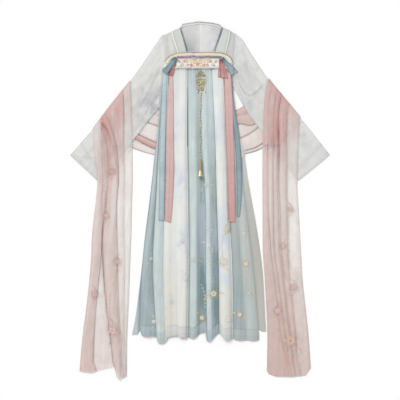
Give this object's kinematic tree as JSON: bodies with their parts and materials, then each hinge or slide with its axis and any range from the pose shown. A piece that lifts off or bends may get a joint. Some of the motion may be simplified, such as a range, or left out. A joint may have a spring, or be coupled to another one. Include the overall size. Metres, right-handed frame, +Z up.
{
  "type": "hanfu robe",
  "caption": "Chest-high pleated skirt with a sheer long-sleeved open shirt, tied ribbons, a beaded pendant and a long gauze shawl, laid flat as one set.",
  "frame": {"origin": "centre of the bounding box in plan, on the surface that the set lies on", "axes": "+Z up from that surface towards the garment's front, +Y along the garment from hem to neck, +X towards its right side as seen from above"},
  "size_m": [1.102, 1.5201, 0.0345],
  "materials": {
    "sheer_shirt": "sheer crinkled chiffon",
    "collar_trim": "dark teal piping",
    "skirt_white": "matte chiffon over lining",
    "skirt_aqua": "matte chiffon over lining",
    "skirt_blue": "matte chiffon over lining",
    "shawl_gauze": "sheer gauze, pink to near white",
    "binding": "cream satin",
    "embroidery": "white satin with gold and coral thread",
    "ribbon_pink": "dull satin",
    "ribbon_teal": "dull satin",
    "twisted_cord": "silk thread",
    "gilt_metal": "gilt, slightly worn",
    "pearl": "pearl lustre"
  },
  "bodies": {
    "root": {"chest_band": "skirt_white", "collar_back": "collar_trim", "collar_left": "sheer_shirt", "collar_right": "sheer_shirt", "embroidered_band": "embroidery", "pendant_bead": "gilt_metal", "pendant_bell": "gilt_metal", "pendant_chain": "gilt_metal", "pendant_drop": "gilt_metal", "pendant_fan": "gilt_metal", "pendant_pearl_1": "pearl", "pendant_pearl_2": "pearl", "pendant_pearl_3": "pearl", "ribbon_pink_left": "ribbon_pink", "ribbon_pink_right": "ribbon_pink", "ribbon_teal_left": "ribbon_teal", "ribbon_teal_right": "ribbon_teal", "shawl_back": "shawl_gauze", "shawl_left": "shawl_gauze", "shawl_right": "shawl_gauze", "shirt_back": "sheer_shirt", "shirt_front_left": "sheer_shirt", "shirt_front_right": "sheer_shirt", "skirt_back": "skirt_aqua", "skirt_front_aqua_left": "skirt_aqua", "skirt_front_blue_centre": "skirt_blue", "skirt_front_blue_right": "skirt_aqua", "skirt_front_outer_left": "skirt_blue", "skirt_front_white_left": "skirt_white", "skirt_front_white_right": "skirt_white", "sleeve_left_back": "sheer_shirt", "sleeve_left_front": "sheer_shirt", "sleeve_right_back": "sheer_shirt", "sleeve_right_front": "sheer_shirt", "tie_pink_left": "ribbon_pink", "tie_pink_right": "ribbon_pink", "tie_teal_left": "ribbon_teal", "tie_teal_right": "ribbon_teal", "top_binding": "binding", "waist_cord": "twisted_cord"}
  },
  "joints": []
}
